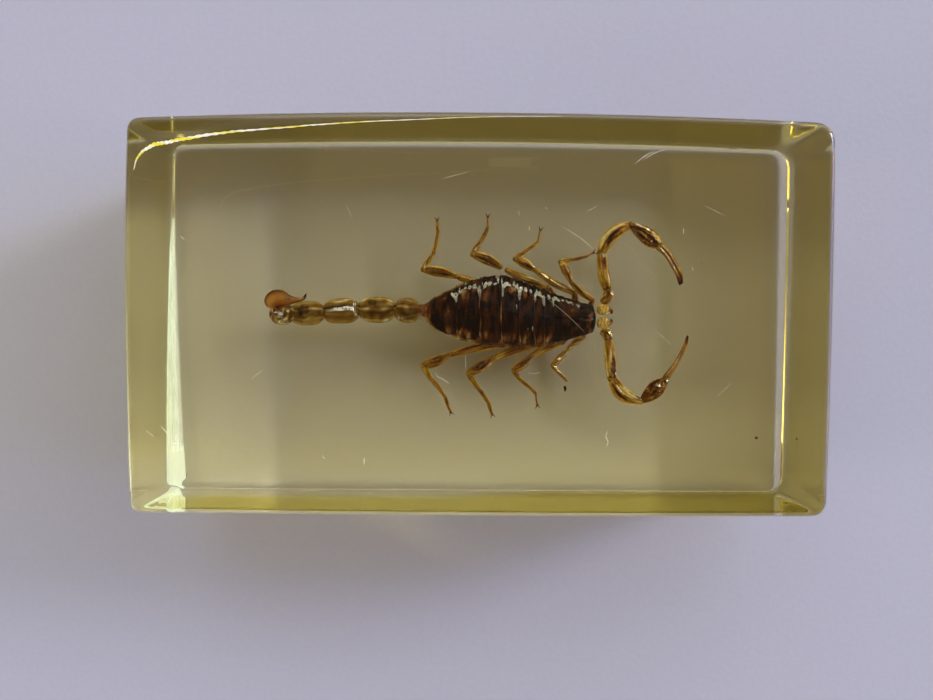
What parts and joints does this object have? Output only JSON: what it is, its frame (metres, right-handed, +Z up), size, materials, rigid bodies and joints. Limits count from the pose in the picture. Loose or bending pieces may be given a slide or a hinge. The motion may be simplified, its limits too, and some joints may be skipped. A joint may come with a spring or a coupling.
{
  "type": "scorpion in resin block",
  "caption": "Small brown scorpion, tail raised, sealed whole in a clear yellow-tinted resin block with rounded edges.",
  "frame": {"origin": "middle of the block's base, on the surface it rests on", "axes": "+Z up out of the block's top face, +X along the block towards the scorpion's head, +Y across it towards the scorpion's left side"},
  "size_m": [0.073, 0.0416, 0.02],
  "materials": {
    "resin": "polished clear casting resin, yellowed",
    "back_shell": "glossy near-black brown shell",
    "limb_shell": "glossy honey-brown shell, slightly see-through",
    "tail_shell": "glossy olive-brown shell with silvery air gaps",
    "stinger_shell": "glossy amber shell, darker at its edges"
  },
  "bodies": {
    "root": {"resin_lower": "resin", "resin_upper": "resin", "body": "back_shell", "tail": "tail_shell", "stinger": "stinger_shell", "jaw_left": "limb_shell", "jaw_right": "limb_shell", "pincer_left": "limb_shell", "pincer_right": "limb_shell", "leg_left_1": "limb_shell", "leg_left_2": "limb_shell", "leg_left_3": "limb_shell", "leg_left_4": "limb_shell", "leg_right_1": "limb_shell", "leg_right_2": "limb_shell", "leg_right_3": "limb_shell", "leg_right_4": "limb_shell", "leg_left_3_broken_end": "limb_shell", "leg_right_1_loose_foot": "limb_shell"}
  },
  "joints": []
}
